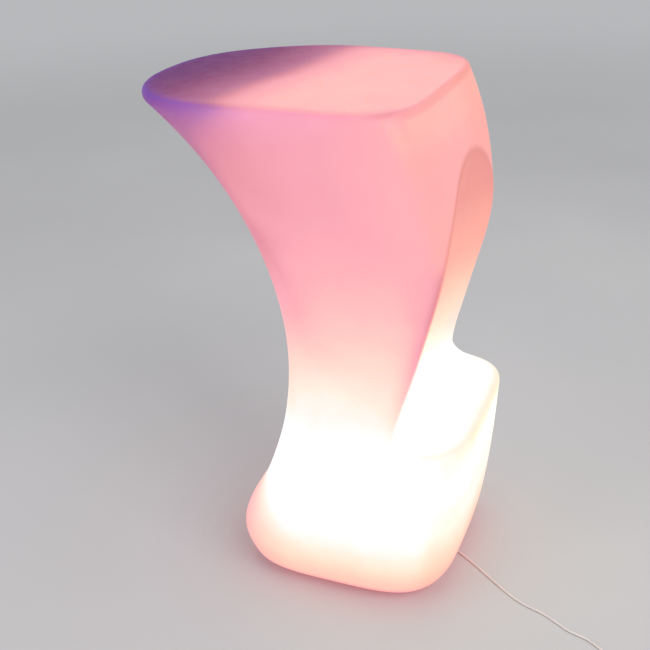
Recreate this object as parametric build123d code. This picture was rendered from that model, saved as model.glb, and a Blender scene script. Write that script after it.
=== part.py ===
from build123d import *
import math
import os

import numpy as np

# Light-up stool: a hollow moulded body lit by a lamp unit in its base.
# Millimetres. +Z up, front of the stool towards -Y, origin on the floor under
# the middle of the object. The body is symmetric about X = 0.

# ---------------------------------------------------------------- dimensions
SCALE = 1.025            # body control values below are multiplied by this
Y_MID = 53.89            # moves the middle of the body's depth to Y = 0
Z_BASE = 7.0             # underside of the body above the floor: the feet's height
WALL = 4.0               # moulded wall

# body outline, control heights and values before SCALE (underside at 6)
ZK = [6, 60, 120, 190, 260, 340, 430, 520, 610, 690, 725, 760]
BACK = [143.2, 171.1, 145.6, 112.7, 92.2, 86.5, 98.6, 126.6, 180.1, 261.4, 309.3, 361.2]
FRONT = [-152.0, -165.1, -172.7, -177.7, -183.1, -187.9, -179.8, -165.0, -152.5, -130.3, -115.0, -98.3]
HK = [6, 80, 170, 265, 380, 570, 760]
HALF_WIDTH = [151.3, 168.9, 179.5, 162.4, 136.7, 164.1, 198.2]
MID_Y = (0.0, 59.4)      # where front and back halves of a section meet, bottom and top
N_BACK = (3.68, 2.56, 2.48)   # squareness of the back half at the bottom, middle and top
N_FRONT = (3.31, 5.69, 4.17)  # squareness of the front half
SEAT_Y = [-165, -40, 100, 200, 300]
SEAT_Z = [725.6, 725.8, 727.7, 725.0, 724.6]

# shin recess in the front, and the footrest step at its foot
RECESS_Z = [255, 300, 360, 430, 500, 570, 640]
RECESS_Y = [-55.7, -65.9, -87.0, -107.5, -125.3, -138.5, -148.9]
RECESS_BOW = 0.0015      # the recess is deepest in the middle: y drops by this times x squared
STEP_Z = 267.0           # height of the step at its inner corner
STEP_FALL = 0.09         # the step falls towards the front at this slope
STEP_DISH = 0.0005       # and flattens by this times the distance squared

RIM_R = 10.0             # rounding of the seat's rim
STEP_R = 10.0            # rounding of the recess edges and the step's rim
CORNER_R = 5.0           # inside corner between recess and step
BOTTOM_R = 40.0          # rounding of the bottom edge

# underside pocket and lamp unit
LAMP_Y = -58.0           # axis of the lamp unit
POCKET_R = 95.0
POCKET_DEPTH = 24.0
OPENING_R = 66.0
FLANGE_R = 88.0
CUP_R = 64.0
CUP_WALL = 2.5
CUP_TOP = 69.0
FLOOR_T = 3.5
GASKET_T = 1.5
SCREW_PCD_R = 76.0
N_HOUSING_SCREWS = 6
FOOT_XY = [(-88, -85), (88, -85), (88, 85), (-88, 85)]   # from the lamp axis

# cells, boards, jack and switch, from the lamp axis
CELL_R = 9.2
CELL_L = 65.0
CELL_Y = (10.0, 30.0)
JACK_XY = (14.0, -32.0)
SWITCH_XY = (36.0, -30.0)
ANCHOR_XY = (0.0, -18.0)
BUTTON_TRAVEL = 2.0
CAP_ARM = 19.8

# lead
LEAD_D = 3.5
COIL_XY = (-205.0, -463.0)
COIL_R = 20.0
COIL_BUNDLE_W = 12.0
COIL_BUNDLE_H = 10.5
ADAPTER_X = -282.0       # middle of the case
ADAPTER_Y = -484.2
ADAPTER_W, ADAPTER_L, ADAPTER_H = 38.0, 52.0, 26.0

Z_CEIL = Z_BASE + POCKET_DEPTH      # pocket ceiling, 31
Z_U = Z_CEIL - GASKET_T - FLOOR_T   # underside of the lamp housing, 26
Z_F = Z_U + FLOOR_T                 # inside floor of the lamp housing, 29.5

os.makedirs("parts", exist_ok=True)
MADE = {}


def save(name, shape):
    shape = shape if isinstance(shape, (Part, Solid, Compound)) else Part() + shape
    MADE[name] = shape
    export_step(shape, f"parts/{name}.step")


# ------------------------------------------------------------- small helpers
def cyl(r, z0, z1, x=0.0, y=0.0):
    return Pos(x, y, (z0 + z1) / 2) * Cylinder(r, z1 - z0)


def tube(r1, r0, z0, z1, x=0.0, y=0.0):
    return cyl(r1, z0, z1, x, y) - cyl(r0, z0 - 1, z1 + 1, x, y)


def block(x0, x1, y0, y1, z0, z1):
    return Pos((x0 + x1) / 2, (y0 + y1) / 2, (z0 + z1) / 2) * Box(x1 - x0, y1 - y0, z1 - z0)


def lamp(x, y):
    """A place given from the lamp axis."""
    return x, LAMP_Y + y


def ring_places(radius, count, start=0.0):
    return [
        (radius * math.cos(math.radians(start + k * 360 / count)), LAMP_Y + radius * math.sin(math.radians(start + k * 360 / count)))
        for k in range(count)
    ]


def revolved(profile, x=0.0, y=0.0):
    """Solid of revolution of (r, z) points about the vertical through x, y."""
    pts = [(r, 0, z) for r, z in profile]
    face = make_face(Polyline(*pts, close=True))
    return Pos(x, y, 0) * revolve(face, Axis.Z)


def bend_radii(points, share=0.45):
    v = [Vector(*p) for p in points]
    radii = []
    for a, b, c in zip(v, v[1:], v[2:]):
        r0, r1 = b - a, c - b
        turn = math.radians(r0.get_angle(r1))
        radii.append(share * min(r0.length, r1.length) / math.tan(turn / 2))
    return radii


def hose(points, diameter, share=0.45):
    """Round tube along straight runs joined by tangent arcs."""
    path = FilletPolyline(*points, radius=bend_radii(points, share))
    start = path @ 0
    direction = path % 0
    circle = Plane(origin=start, z_dir=direction) * Circle(diameter / 2)
    solid = sweep(circle, path)
    return solid, path.length


# ------------------------------------------------------------------ the body
def natural(xs, ys):
    """Natural cubic spline through (xs, ys)."""
    xs, ys = np.asarray(xs, float), np.asarray(ys, float)
    n, h = len(xs), np.diff(np.asarray(xs, float))
    a, b = np.zeros((n, n)), np.zeros(n)
    a[0, 0] = a[-1, -1] = 1
    for i in range(1, n - 1):
        a[i, i - 1], a[i, i], a[i, i + 1] = h[i - 1], 2 * (h[i - 1] + h[i]), h[i]
        b[i] = 6 * ((ys[i + 1] - ys[i]) / h[i] - (ys[i] - ys[i - 1]) / h[i - 1])
    m = np.linalg.solve(a, b)

    def value(x):
        x = np.asarray(x, float)
        k = np.clip(np.searchsorted(xs, x) - 1, 0, n - 2)
        p, q, w = xs[k + 1] - x, x - xs[k], h[k]
        return (m[k] * p**3 + m[k + 1] * q**3) / (6 * w) + (ys[k] / w - m[k] * w / 6) * p + (ys[k + 1] / w - m[k + 1] * w / 6) * q

    return value


back_of, front_of = natural(ZK, BACK), natural(ZK, FRONT)
half_of, seat_of = natural(HK, HALF_WIDTH), natural(SEAT_Y, SEAT_Z)
recess_of = natural(RECESS_Z, RECESS_Y)


def quad(a, t):
    return a[0] * (1 - t) * (1 - 2 * t) + a[1] * 4 * t * (1 - t) + a[2] * t * (2 * t - 1)


def skin(z, phi):
    """Point of the body's outer skin at control height z and angle phi, in the object's frame."""
    t = (z - 6) / 754.0
    ym = MID_Y[0] * (1 - t) + MID_Y[1] * t
    c, s = np.cos(phi), np.sin(phi)
    h = np.where(s >= 0, back_of(z) - ym, ym - front_of(z))
    n = np.where(s >= 0, quad(N_BACK, t), quad(N_FRONT, t))
    r = (np.abs(c / half_of(z)) ** n + np.abs(s / h) ** n) ** (-1 / n)
    return np.stack([SCALE * r * c, SCALE * (ym + r * s) - Y_MID, SCALE * (z - 6) + Z_BASE + 0 * r], -1)


def section(z_mm, inset, phi):
    z = np.full_like(phi, (z_mm - Z_BASE) / SCALE + 6)
    p = skin(z, phi)
    if inset:
        du = skin(z, phi + 1e-3) - skin(z, phi - 1e-3)
        dv = skin(z + 0.5, phi) - skin(z - 0.5, phi)
        n = np.cross(du, dv)
        n /= np.linalg.norm(n, axis=1)[:, None]
        flat = n[:, 0] ** 2 + n[:, 1] ** 2
        p[:, 0] -= inset * n[:, 0] / flat
        p[:, 1] -= inset * n[:, 1] / flat
    return p


def tower(heights, inset):
    """Loft of the body's level sections, each inset from the skin."""
    phi = np.linspace(-math.pi / 2, 1.5 * math.pi, 49)[:-1]
    rings = [section(z, inset, phi) for z in heights]
    par = np.zeros(49)
    for p in rings:
        q = np.vstack([p, p[:1]])
        d = np.r_[0, np.cumsum(np.linalg.norm(np.diff(q, axis=0), axis=1))]
        par += d / d[-1]
    par = [float(v) for v in par / len(rings)]
    faces = [Face(Wire([Edge.make_spline([tuple(map(float, q)) for q in p], periodic=True, parameters=par)])) for p in rings]
    return loft(faces)


def above_seat(drop):
    """Everything above the seat's surface lowered by drop."""
    ys = np.linspace(-240, 400, 17)
    pts = []
    for y in ys:
        u = (y + Y_MID) / SCALE
        pts.append((-300.0, float(y), float(SCALE * (seat_of(np.clip(u, -165, 330)) - 6) + Z_BASE - drop)))
    top = 900.0
    edges = [
        Edge.make_spline(pts),
        Edge.make_line(pts[-1], (-300.0, 400.0, top)),
        Edge.make_line((-300.0, 400.0, top), (-300.0, -240.0, top)),
        Edge.make_line((-300.0, -240.0, top), pts[0]),
    ]
    return extrude(Face(Wire(edges)), amount=600, dir=(1, 0, 0))


def recess_y(z_mm):
    z = (z_mm - Z_BASE) / SCALE + 6
    end = (recess_of(640.0) - recess_of(600.0)) / 40
    y = recess_of(min(z, 640.0)) + max(z - 640.0, 0.0) * end
    return float(SCALE * y - Y_MID)


def recess(inset):
    """Space in front of the recess wall and above the step; inset moves both into the body."""
    z_step = SCALE * (STEP_Z - 6) + Z_BASE
    y_in = recess_y(z_step)
    r = CORNER_R + inset
    z_hi = 730.0
    z0 = z_step + 23.0
    zz = np.linspace(z0, z_hi, 12)
    wall = []
    for z in zz:
        dy = (recess_y(z + 1) - recess_y(z - 1)) / 2
        k = math.hypot(1, dy)
        wall.append((recess_y(z) + inset / k, z))
    wall = np.array(wall)
    up = np.array([(recess_y(z0 + 1) - recess_y(z0 - 1)) / 2, 1.0])
    up /= np.linalg.norm(up)
    tip = np.array([(recess_y(z_hi) - recess_y(z_hi - 2)) / 2, 1.0])
    tip /= np.linalg.norm(tip)

    def step_z(y):
        u = (y_in - y) / SCALE
        return z_step + SCALE * (-STEP_FALL * u + STEP_DISH * u * max(u, 0.0)) - inset

    # rounded inside corner: circle tangent to the wall's line and to the step's first slope
    fwd = np.array([-1.0, -STEP_FALL])
    fwd /= np.linalg.norm(fwd)
    corner0 = np.array([y_in, step_z(y_in)])
    m = np.array([[up[0], -fwd[0]], [up[1], -fwd[1]]])
    k = np.linalg.solve(m, corner0 - wall[0])
    corner = wall[0] + up * k[0]
    arm = float(np.linalg.norm(wall[0] - corner))
    s0 = corner + fwd * arm
    steps = [s0]
    for y in np.linspace(s0[0] - 25, -290.0, 6):
        steps.append(np.array([y, s0[1] + step_z(y) - step_z(s0[0])]))
    slope0 = np.array([-1.0, -(STEP_FALL)])
    faces = []
    for x in np.linspace(-260, 260, 9):
        dy = -RECESS_BOW * x * x / SCALE

        def v(p, x=x, dy=dy):
            return (float(x), float(p[0] + dy), float(p[1]))

        edges = [
            Edge.make_spline([v(p) for p in wall], tangents=[(0, *map(float, up)), (0, *map(float, tip))]),
            Edge.make_tangent_arc(v(s0), (0, float(-fwd[0]), float(-fwd[1])), v(wall[0])),
            Edge.make_spline([v(p) for p in steps[::-1]], tangents=[(0, 1.0, 0.0), (0, *map(float, -slope0 / np.linalg.norm(slope0)))]),
            Edge.make_line(v(wall[-1]), v((steps[-1][0], z_hi))),
            Edge.make_line(v((steps[-1][0], z_hi)), v(steps[-1])),
        ]
        faces.append(Face(Wire(edges)))
    return loft(faces)


def edge_sets(solid, z_bottom):
    rim, foot, loop = [], [], []
    for e in solid.edges():
        b = e.bounding_box()
        if b.max.X - b.min.X < 0.01:
            continue
        if b.max.Z < z_bottom + 1:
            foot.append(e)
        elif b.min.Z > 700:
            rim.append(e)
        elif b.min.X < -100 and b.max.X > 100:
            continue
        else:
            loop.append(e)
    return rim, foot, loop


def body_solid(inset):
    heights = [Z_BASE + inset, 30, 60, 95, 130, 170, 220, 270, 330, 390, 450, 520, 590, 650, 700, 735, 770]
    s = (tower(heights, inset) - above_seat(inset)) - recess(inset)
    s = s.solids().sort_by(SortBy.VOLUME)[-1]
    rim, foot, loop = edge_sets(s, Z_BASE + inset)
    s = s.fillet(STEP_R - inset, loop)
    rim, foot, loop = edge_sets(s, Z_BASE + inset)
    s = s.fillet(RIM_R - inset, rim)
    rim, foot, loop = edge_sets(s, Z_BASE + inset)
    return s.fillet(BOTTOM_R - inset, foot)


outer = body_solid(0.0)
inner = body_solid(WALL)
print("body outer", round(outer.volume / 1e6, 3), "l, valid", outer.is_valid, "inner", round(inner.volume / 1e6, 3), inner.is_valid)
bb = outer.bounding_box()
print("body box", [round(v, 2) for v in (bb.min.X, bb.min.Y, bb.min.Z, bb.max.X, bb.max.Y, bb.max.Z)], "mid y", round((bb.min.Y + bb.max.Y) / 2, 3))

# pocket in the underside, with rounded mouth and ceiling corner
pocket = revolved([(0, Z_BASE - 2), (POCKET_R + 4, Z_BASE - 2), (POCKET_R + 4, Z_BASE), (POCKET_R + 1.2, Z_BASE + 1.2), (POCKET_R, Z_BASE + 4), (POCKET_R, Z_CEIL - 3), (POCKET_R - 3, Z_CEIL), (0, Z_CEIL)], 0, LAMP_Y)
pocket_wall = cyl(POCKET_R + WALL, Z_BASE, Z_CEIL + WALL, 0, LAMP_Y)
cavity = inner - pocket_wall
HOUSING_AT = ring_places(SCREW_PCD_R, N_HOUSING_SCREWS, 30)
FEET_AT = [lamp(*p) for p in FOOT_XY]
for x, y in HOUSING_AT:
    cavity -= cyl(7.5, Z_CEIL, Z_CEIL + 15, x, y)
for x, y in FEET_AT:
    cavity -= cyl(7.5, Z_BASE, Z_BASE + 13, x, y)
shell = outer - pocket - cavity - cyl(OPENING_R, Z_CEIL - 5, Z_CEIL + 10, 0, LAMP_Y)
for x, y in HOUSING_AT:
    shell -= cyl(4.0, Z_CEIL - 1, Z_CEIL + 10, x, y) + cyl(2.5, Z_CEIL, Z_CEIL + 12, x, y)
for x, y in FEET_AT:
    shell -= cyl(3.5, Z_BASE - 1, Z_BASE + 8, x, y) + cyl(2.0, Z_BASE, Z_BASE + 9.5, x, y)
VENT = lamp(0, 108)
shell -= cyl(4.0, Z_BASE - 1, Z_BASE + WALL + 2, *VENT)
shell = shell.solids().sort_by(SortBy.VOLUME)[-1]
save("body_shell", shell)
print("shell solids", len(shell.solids()), "volume cm3", round(shell.volume / 1000, 1), shell.is_valid)

save("lamp_unit_inserts", Part() + [tube(4.0, 2.5, Z_CEIL, Z_CEIL + 10, x, y) for x, y in HOUSING_AT])
save("foot_inserts", Part() + [tube(3.5, 2.0, Z_BASE, Z_BASE + 8, x, y) for x, y in FEET_AT])
save("vent_plug", cyl(6.0, Z_BASE - 1.6, Z_BASE, *VENT) + cyl(4.0, Z_BASE, Z_BASE + WALL + 1.5, *VENT))

# ---------------------------------------------------------------------- feet
for name, (x, y) in zip(("front_left_foot", "front_right_foot", "rear_right_foot", "rear_left_foot"), FEET_AT):
    foot = revolved([(4.6, 0), (10.6, 0), (11.4, 0.8), (12.6, Z_BASE), (2.3, Z_BASE), (2.3, 4.0), (4.6, 4.0)], x, y)
    save(name, foot)
save(
    "foot_screws",
    Part() + [cyl(3.9, 1.4, 4.0, x, y) - cyl(1.1, 1.0, 2.6, x, y) + cyl(2.0, 4.0, Z_BASE + 7.5, x, y) for x, y in FEET_AT],
)

# -------------------------------------------------------------- lamp housing
posts = [lamp(44.2 * sx, 16.1 * sy) for sx in (-1, 1) for sy in (-1, 1)]
bosses = ring_places(57.3, 4, 0)
BOARD_Z = 60.0
housing = cyl(FLANGE_R, Z_U, Z_F, 0, LAMP_Y) + tube(CUP_R, CUP_R - CUP_WALL, Z_F - 0.5, CUP_TOP, 0, LAMP_Y)
housing = housing.solids().sort_by(SortBy.VOLUME)[-1]
for x, y in bosses:
    housing += cyl(4.0, Z_F - 0.5, CUP_TOP, x, y) & cyl(CUP_R - 0.5, Z_F - 1, CUP_TOP, 0, LAMP_Y)
for x, y in posts:
    housing += cyl(3.6, Z_F - 0.5, BOARD_Z, x, y)
BOARD_SCREWS = [lamp(x, y) for x, y in ((-34, -40), (-6, -40), (-34, -18), (-6, -18))]
for x, y in BOARD_SCREWS:
    housing += cyl(3.0, Z_F - 0.5, 35.0, x, y)
for a in range(0, 360, 30):
    rib = block(CUP_R - 1, 71.0, -1.0, 1.0, Z_F - 0.5, Z_F + 0.6)
    housing += Pos(0, LAMP_Y, 0) * (Rot(0, 0, a + 15) * rib)
for x, y in HOUSING_AT:
    housing -= cyl(2.75, Z_U - 1, Z_F + 2, x, y)
for x, y in bosses:
    housing -= cyl(1.5, CUP_TOP - 10, CUP_TOP + 1, x, y)
for x, y in posts:
    housing -= cyl(1.25, BOARD_Z - 8, BOARD_Z + 1, x, y)
for x, y in BOARD_SCREWS:
    housing -= cyl(1.0, 31.0, 36.0, x, y)
housing -= cyl(5.5, Z_U - 1, Z_F + 1, *lamp(*JACK_XY))
housing -= cyl(6.0, Z_U - 1, Z_F + 1, *lamp(*SWITCH_XY))
housing -= cyl(2.4, Z_U - 1, Z_F + 1, *lamp(*ANCHOR_XY))
# concentric stiffening rib on the underside
housing += tube(86.0, 84.0, Z_U - 1.5, Z_U + 0.5, 0, LAMP_Y)
housing = housing.solids().sort_by(SortBy.VOLUME)[-1]
save("lamp_housing", housing)

gasket = tube(87.0, CUP_R + 8.0, Z_F, Z_CEIL, 0, LAMP_Y)
for x, y in HOUSING_AT:
    gasket -= cyl(2.75, Z_F - 1, Z_CEIL + 1, x, y)
save("housing_gasket", gasket)
save(
    "housing_screws",
    Part()
    + [
        cyl(4.6, Z_U - 2.8, Z_U, x, y) - cyl(1.6, Z_U - 3.5, Z_U - 1.2, x, y) + cyl(2.5, Z_U, Z_CEIL + 9, x, y)
        for x, y in HOUSING_AT
    ],
)

# ----------------------------------------------------------- lights and dome
board = cyl(51.0, BOARD_Z, BOARD_Z + 1.6, 0, LAMP_Y)
for x, y in posts:
    board -= cyl(1.7, BOARD_Z - 1, BOARD_Z + 3, x, y)
save("led_board", board)
chips = []
for radius, count, start in ((16.0, 8, 0), (31.0, 16, 11.25)):
    for k, (x, y) in enumerate(ring_places(radius, count, start)):
        a = start + k * 360 / count
        chip = Box(5, 5, 1.4) - Pos(0, 0, 0.6) * Cylinder(2.0, 0.6)
        chips.append(Pos(x, y, BOARD_Z + 2.3) * (Rot(0, 0, a) * chip))
save("led_chips", Part() + chips)
save(
    "led_board_screws",
    Part() + [cyl(2.7, BOARD_Z + 1.6, BOARD_Z + 3.4, x, y) - cyl(0.8, BOARD_Z + 2.6, BOARD_Z + 4, x, y) + cyl(1.25, BOARD_Z - 6, BOARD_Z + 1.6, x, y) for x, y in posts],
)
seal = tube(63.8, 52.6, CUP_TOP, CUP_TOP + 1.0, 0, LAMP_Y)
for x, y in bosses:
    seal -= cyl(1.6, CUP_TOP - 1, CUP_TOP + 2, x, y)
save("dome_seal", seal)
ZD = CUP_TOP + 1.0
outer_arc, inner_arc = [], []
for k in range(0, 13):
    a = math.radians(7.5 * k)
    outer_arc.append((53.6 * math.cos(a), ZD + 2.5 + 26.0 * math.sin(a)))
    inner_arc.append((51.6 * math.cos(a), ZD + 2.5 + 24.0 * math.sin(a)))
with BuildSketch(Plane.XZ) as dome_sk:
    with BuildLine():
        Polyline((51.6, ZD), (64.0, ZD), (64.0, ZD + 2.5), (53.6, ZD + 2.5))
        Spline(*outer_arc, tangents=((0, 1), (-1, 0)))
        Line((0, ZD + 28.5), (0, ZD + 26.5))
        Spline(*inner_arc[::-1], tangents=((1, 0), (0, -1)))
        Line((51.6, ZD + 2.5), (51.6, ZD))
    make_face()
dome = Pos(0, LAMP_Y, 0) * revolve(dome_sk.sketch, Axis.Z)
for x, y in bosses:
    dome -= cyl(1.7, ZD - 1, ZD + 4, x, y)
save("dome_cover", dome)
save(
    "dome_screws",
    Part() + [cyl(2.8, ZD + 2.5, ZD + 4.5, x, y) - cyl(0.9, ZD + 3.5, ZD + 5, x, y) + cyl(1.5, CUP_TOP - 8, ZD + 2.5, x, y) for x, y in bosses],
)

# ------------------------------------------------------------------- battery
ZC = Z_F + 1.8 + CELL_R
for name, cy in zip(("battery_cell_1", "battery_cell_2"), CELL_Y):
    save(name, Pos(0, LAMP_Y + cy, ZC) * (Rot(0, 90, 0) * Cylinder(CELL_R, CELL_L)))
cradle = block(-36.5, 36.5, LAMP_Y - 1, LAMP_Y + 41, Z_F, Z_F + 9)
cradle += block(-6, 6, LAMP_Y - 8, LAMP_Y, Z_F, ZC + CELL_R + 0.4) + block(-6, 6, LAMP_Y + 40, LAMP_Y + 48, Z_F, ZC + CELL_R + 0.4)
for cy in CELL_Y:
    cradle -= Pos(0, LAMP_Y + cy, ZC) * (Rot(0, 90, 0) * Cylinder(CELL_R, CELL_L + 1.2))
for x in (-32.8, 32.8):
    cradle -= block(x - 0.35, x + 0.35, LAMP_Y + 3, LAMP_Y + 37, Z_F + 3.0, Z_F + 12)
for y in (LAMP_Y - 4.5, LAMP_Y + 44.5):
    cradle -= cyl(1.25, ZC, ZC + CELL_R + 1, 0, y)
cradle = cradle.solids().sort_by(SortBy.VOLUME)[-1]
save("battery_cradle", cradle)
ZK_TOP = ZC + CELL_R + 0.4
clamp = block(-6, 6, LAMP_Y - 8, LAMP_Y + 48, ZK_TOP, ZK_TOP + 2.2)
for y in (LAMP_Y - 4.5, LAMP_Y + 44.5):
    clamp -= cyl(1.4, ZK_TOP - 1, ZK_TOP + 4, 0, y)
save("battery_clamp", clamp)
save(
    "battery_clamp_screws",
    Part() + [cyl(2.4, ZK_TOP + 2.2, ZK_TOP + 3.9, 0, y) - cyl(0.8, ZK_TOP + 3.2, ZK_TOP + 4.5, 0, y) + cyl(1.25, ZC + 1.5, ZK_TOP + 2.2, 0, y) for y in (LAMP_Y - 4.5, LAMP_Y + 44.5)],
)
save(
    "battery_tabs",
    Part()
    + [block(s * 32.7 - 0.2, s * 32.7 + 0.2, LAMP_Y + 4, LAMP_Y + 36, ZC - 5, ZC + 5) + block(s * 32.7 - 0.2, s * 32.7 + 0.2, LAMP_Y + 4, LAMP_Y + 9, ZC + 4, ZC + 13) for s in (-1, 1)],
)

# ------------------------------------------------------------- control board
ZB = 35.0
pcb = block(-38, -2, LAMP_Y - 44, LAMP_Y - 14, ZB, ZB + 1.6)
for x, y in BOARD_SCREWS:
    pcb -= cyl(1.3, ZB - 1, ZB + 3, x, y)
save("control_board", pcb)
ZT = ZB + 1.6
parts = [
    block(-25.5, -16.5, LAMP_Y - 35.5, LAMP_Y - 26.5, ZT, ZT + 1.8),
    block(-25, -15, LAMP_Y - 25, LAMP_Y - 15, ZT, ZT + 5),
    block(-13, -5.5, LAMP_Y - 33, LAMP_Y - 22, ZT, ZT + 2.2),
    cyl(3.15, ZT, ZT + 8, *lamp(-13, -37.2)),
    cyl(3.15, ZT, ZT + 8, *lamp(-31.2, -29)),
]
save("control_components", Part() + parts)
conns = [
    block(-31, -26, LAMP_Y - 19.5, LAMP_Y - 14.5, ZT, ZT + 6),
    block(-31.2, -26.2, LAMP_Y - 43.5, LAMP_Y - 38.5, ZT, ZT + 6),
    block(-24.5, -17.5, LAMP_Y - 43.5, LAMP_Y - 38.5, ZT, ZT + 6),
]
save("board_connectors", Part() + conns)
save(
    "control_board_screws",
    Part() + [cyl(2.0, ZT, ZT + 1.6, x, y) - cyl(0.7, ZT + 0.9, ZT + 2, x, y) + cyl(1.0, 31.5, ZT, x, y) for x, y in BOARD_SCREWS],
)
save("led_connector", block(-10, -3, LAMP_Y - 3, LAMP_Y + 3, BOARD_Z - 4.5, BOARD_Z))

# ------------------------------------------------- charging jack and its cap
jx, jy = lamp(*JACK_XY)
JACK_TOP = Z_U + 15
jack = cyl(7.0, Z_U - 2, Z_U, jx, jy) + cyl(5.5, Z_U, JACK_TOP, jx, jy)
jack -= cyl(3.0, Z_U - 3, Z_U + 9, jx, jy)
jack += cyl(1.0, Z_U - 0.5, Z_U + 9.5, jx, jy)
jack += block(jx - 3.2, jx - 2.7, jy - 1.2, jy + 1.2, JACK_TOP - 1, JACK_TOP + 5) + block(jx + 2.7, jx + 3.2, jy - 1.2, jy + 1.2, JACK_TOP - 1, JACK_TOP + 5)
save("charge_jack", jack)


def hex_nut(x, y, flats, bore, z0, z1):
    nut = Pos(x, y, z0) * extrude(RegularPolygon(flats / 2, 6, major_radius=False), amount=z1 - z0)
    return nut - cyl(bore, z0 - 1, z1 + 1, x, y)


save("charge_jack_nut", hex_nut(jx, jy, 14.0, 5.5, Z_F, Z_F + 2.6))

ax, ay = lamp(*ANCHOR_XY)
anchor = cyl(2.4, Z_U - 4.6, Z_F + 0.8, ax, ay) + cyl(4.2, Z_U - 5.6, Z_U - 4.6, ax, ay) + cyl(2.9, Z_F, Z_F + 1.4, ax, ay)
save("cap_anchor", anchor)
# rubber cap: ring on the anchor, strap, and the cap proper, swung aside at rest
cx, cy = ax - CAP_ARM, ay
cap = cyl(5.0, Z_U - 4.0, Z_U - 1.4, ax, ay) + cyl(7.4, Z_U - 4.4, Z_U - 1.4, cx, cy) + cyl(2.85, Z_U - 1.4, Z_U - 0.5, cx, cy)
cap += block(cx + 4, ax - 3, ay - 2.0, ay + 2.0, Z_U - 3.4, Z_U - 2.0)
cap -= cyl(2.65, Z_U - 6, Z_U, ax, ay)
cap += Pos(cx - 8.6, cy, Z_U - 3.2) * Box(4.0, 4.0, 1.6)
cap = cap.solids().sort_by(SortBy.VOLUME)[-1]
save("jack_cap", cap)

# -------------------------------------------------------------- power switch
sx, sy = lamp(*SWITCH_XY)
SW_TOP = Z_U + 17
switch = cyl(7.5, Z_U - 2.5, Z_U, sx, sy) + cyl(6.0, Z_U, SW_TOP, sx, sy)
switch -= cyl(4.2, Z_U - 3, Z_U + 1.2, sx, sy)
switch -= cyl(4.9, Z_U + 1.0, Z_U + 9.0, sx, sy)
switch += block(sx - 3.2, sx - 2.7, sy - 1.2, sy + 1.2, SW_TOP - 1, SW_TOP + 5) + block(sx + 2.7, sx + 3.2, sy - 1.2, sy + 1.2, SW_TOP - 1, SW_TOP + 5)
save("switch_body", switch)
save("switch_nut", hex_nut(sx, sy, 15.0, 6.0, Z_F, Z_F + 3.0))
button = cyl(4.0, Z_U - 4.5, Z_U + 1.3, sx, sy) + cyl(4.7, Z_U + 1.3, Z_U + 2.4, sx, sy) + cyl(2.4, Z_U + 2.4, Z_U + 4.4, sx, sy)
button = button.solids().sort_by(SortBy.VOLUME)[-1]
button = button.fillet(0.7, button.edges().filter_by(GeomType.CIRCLE).sort_by(Axis.Z)[0:1])
save("switch_button", button)
helix = Helix(pitch=1.24, height=6.0, radius=3.5)
spring = sweep(Plane(origin=helix @ 0, z_dir=helix % 0) * Circle(0.25), helix, is_frenet=True)
spring = Pos(sx, sy, Z_U + 2.4 + 0.3) * spring
save("switch_spring", spring)

# --------------------------------------------------------- wiring in the cup
WIRE = 1.5


def wires(name, routes, against):
    made = []
    for route in routes:
        wire = hose(route, WIRE)[0]
        for other in against:
            wire = wire - MADE[other]
        made.append(wire.solids().sort_by(SortBy.VOLUME)[-1])
    save(name, Part() + made)


L = LAMP_Y
wires(
    "led_leads",
    [
        [(-23, L - 41, ZT + 6), (-23, L - 41, 48), (-14, L - 20, 53), (-8.5, L - 9, 57), (-8.5, L - 3, 57.8)],
        [(-19, L - 41, ZT + 6), (-19, L - 41, 48), (-10, L - 20, 53), (-4.5, L - 9, 57), (-4.5, L - 3, 57.8)],
    ],
    ["board_connectors", "led_connector"],
)
wires(
    "battery_leads",
    [
        [(-32.7, L + 6.5, ZC + 13), (-32.7, L + 5.0, 56.5), (-30.0, L - 8, 54), (-29.6, L - 17, 50), (-29.6, L - 17, ZT + 6)],
        [(32.7, L + 6.5, ZC + 13), (32.0, L + 3.0, 56.5), (18, L - 9.8, 53.2), (-14, L - 12, 52.0), (-26.5, L - 16.5, 51), (-27.4, L - 17, ZT + 6)],
    ],
    ["board_connectors", "battery_tabs"],
)
wires(
    "jack_leads",
    [
        [(jx - 2.95, jy, JACK_TOP + 5), (jx - 3.4, jy, 50), (3, jy + 1.5, 49.0), (-3.4, jy + 1.0, 42), (-3.4, jy + 1.0, ZT)],
        [(jx + 2.95, jy, JACK_TOP + 5), (jx + 2.4, jy - 1, 52.5), (4, jy - 4.0, 51.0), (-3.6, jy - 3.0, 42), (-3.6, jy - 3.0, ZT)],
    ],
    ["charge_jack"],
)
wires(
    "switch_leads",
    [
        [(sx - 2.95, sy, SW_TOP + 5), (sx - 4.0, sy - 1.5, 54), (12, sy - 12.5, 54), (-20, sy - 14.5, 52), (-27.6, sy - 11.5, 49), (-27.6, sy - 11.0, ZT + 6)],
        [(sx + 2.95, sy, SW_TOP + 5), (sx + 2.0, sy - 2.0, 56.5), (14, sy - 14.5, 56.5), (-20, sy - 16.5, 54.5), (-29.6, sy - 13.5, 50), (-29.8, sy - 11.0, ZT + 6)],
    ],
    ["board_connectors", "switch_body"],
)

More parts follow.
